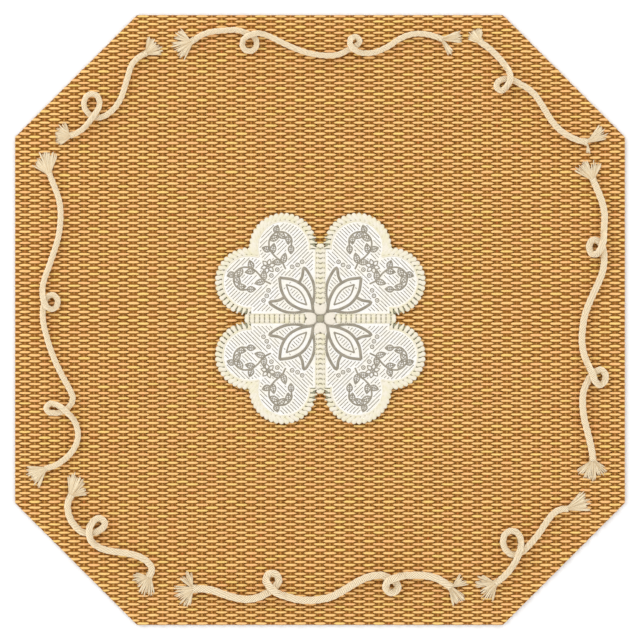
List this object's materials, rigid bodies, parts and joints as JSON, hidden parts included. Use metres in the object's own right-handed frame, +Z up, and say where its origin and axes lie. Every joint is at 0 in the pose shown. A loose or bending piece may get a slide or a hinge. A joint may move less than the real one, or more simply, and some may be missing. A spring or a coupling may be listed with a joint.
{
  "type": "placemat",
  "caption": "Octagonal woven straw placemat with a border of looped, frayed cotton ropes and a heart-lobed lace doily at its middle",
  "frame": {"origin": "middle of the mat's underside, at the bottom of the bounding box", "axes": "+Z up from the table, +X to the right and +Y to the far side of the placemat as it is laid; the short edges of the octagon lie at its diagonals"},
  "size_m": [0.38, 0.38, 0.0128],
  "materials": {
    "straw": "plain woven straw, golden tan with brown between the wefts",
    "cotton": "matt twisted cream cotton",
    "lace": "off-white whitework ground with greige stitching",
    "crochet": "cream crochet",
    "knot": "greige thread"
  },
  "bodies": {
    "root": {"mat": "straw", "rope_top_left": "cotton", "rope_top": "cotton", "rope_top_right": "cotton", "rope_right": "cotton", "rope_bottom_right": "cotton", "rope_bottom": "cotton", "rope_bottom_left": "cotton", "rope_left": "cotton", "fray_top_left_a": "cotton", "fray_top_left_b": "cotton", "fray_top_a": "cotton", "fray_top_b": "cotton", "fray_top_right_a": "cotton", "fray_top_right_b": "cotton", "fray_right_a": "cotton", "fray_right_b": "cotton", "fray_bottom_right_a": "cotton", "fray_bottom_right_b": "cotton", "fray_bottom_a": "cotton", "fray_bottom_b": "cotton", "fray_bottom_left_a": "cotton", "fray_bottom_left_b": "cotton", "fray_left_a": "cotton", "fray_left_b": "cotton", "heart_upper_left": "lace", "heart_upper_right": "lace", "heart_lower_right": "lace", "heart_lower_left": "lace", "edging_upper_left": "crochet", "edging_upper_right": "crochet", "edging_lower_right": "crochet", "edging_lower_left": "crochet", "braid_upper": "crochet", "braid_left": "crochet", "braid_lower": "crochet", "braid_right": "crochet", "petal_upper": "crochet", "petal_left": "crochet", "petal_lower": "crochet", "petal_right": "crochet", "knob": "knot"}
  },
  "joints": []
}
